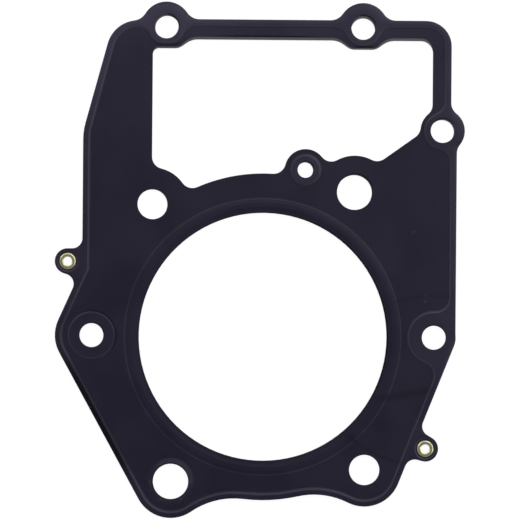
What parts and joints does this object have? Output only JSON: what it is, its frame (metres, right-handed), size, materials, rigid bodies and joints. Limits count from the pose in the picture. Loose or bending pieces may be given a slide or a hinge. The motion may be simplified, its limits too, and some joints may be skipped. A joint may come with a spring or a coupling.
{
  "type": "cylinder head gasket",
  "caption": "Embossed multi-layer steel gasket plate that seals a cylinder head round the bore, posts and chain tunnel.",
  "frame": {"origin": "centre of the cylinder bore, on the plane that the gasket rests on", "axes": "+Z along the bore axis towards the cylinder head; +Y from the bore to the chain tunnel, along the longest side; +X to the right seen from the head"},
  "size_m": [0.1677, 0.2118, 0.0015],
  "materials": {
    "coated_steel": "satin dark violet-grey coating",
    "bare_steel": "rolled sheet",
    "eyelet_brass": "dull pressed brass"
  },
  "bodies": {
    "root": {"top_layer": "coated_steel", "middle_layer": "bare_steel", "bottom_layer": "coated_steel", "left_eyelet": "eyelet_brass", "right_eyelet": "eyelet_brass"}
  },
  "joints": []
}
